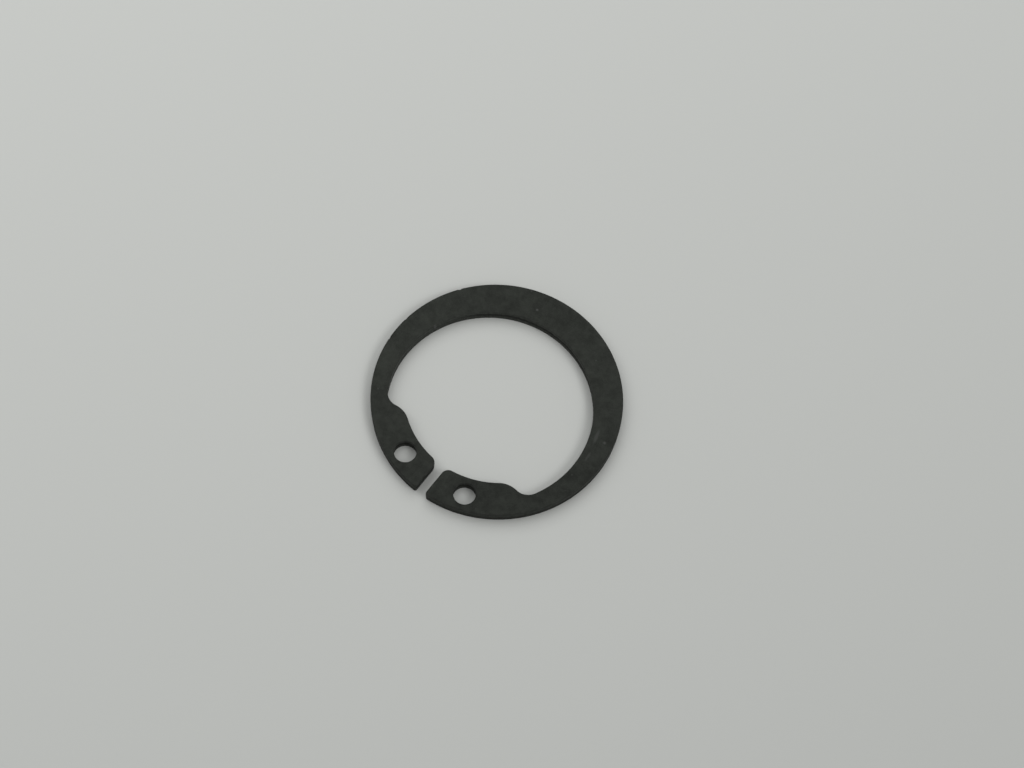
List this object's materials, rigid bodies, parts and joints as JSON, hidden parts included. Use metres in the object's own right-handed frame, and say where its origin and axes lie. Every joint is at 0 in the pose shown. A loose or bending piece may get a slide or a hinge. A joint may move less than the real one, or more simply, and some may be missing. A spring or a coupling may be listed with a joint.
{
  "type": "circlip",
  "caption": "Flat round spring-steel retaining ring for a grooved shaft, widest at its back and split by a narrow gap between inward plier lugs, black phosphated.",
  "frame": {"origin": "on the ring's axis, at the lower face", "axes": "+Z along the ring's axis, out of the upper face; the gap between the lugs points to -Y; the part is the same on both sides of the YZ plane"},
  "size_m": [0.0227, 0.0227, 0.0012],
  "materials": {
    "phosphated_steel": "matte"
  },
  "bodies": {
    "root": {"circlip": "phosphated_steel"}
  },
  "joints": []
}
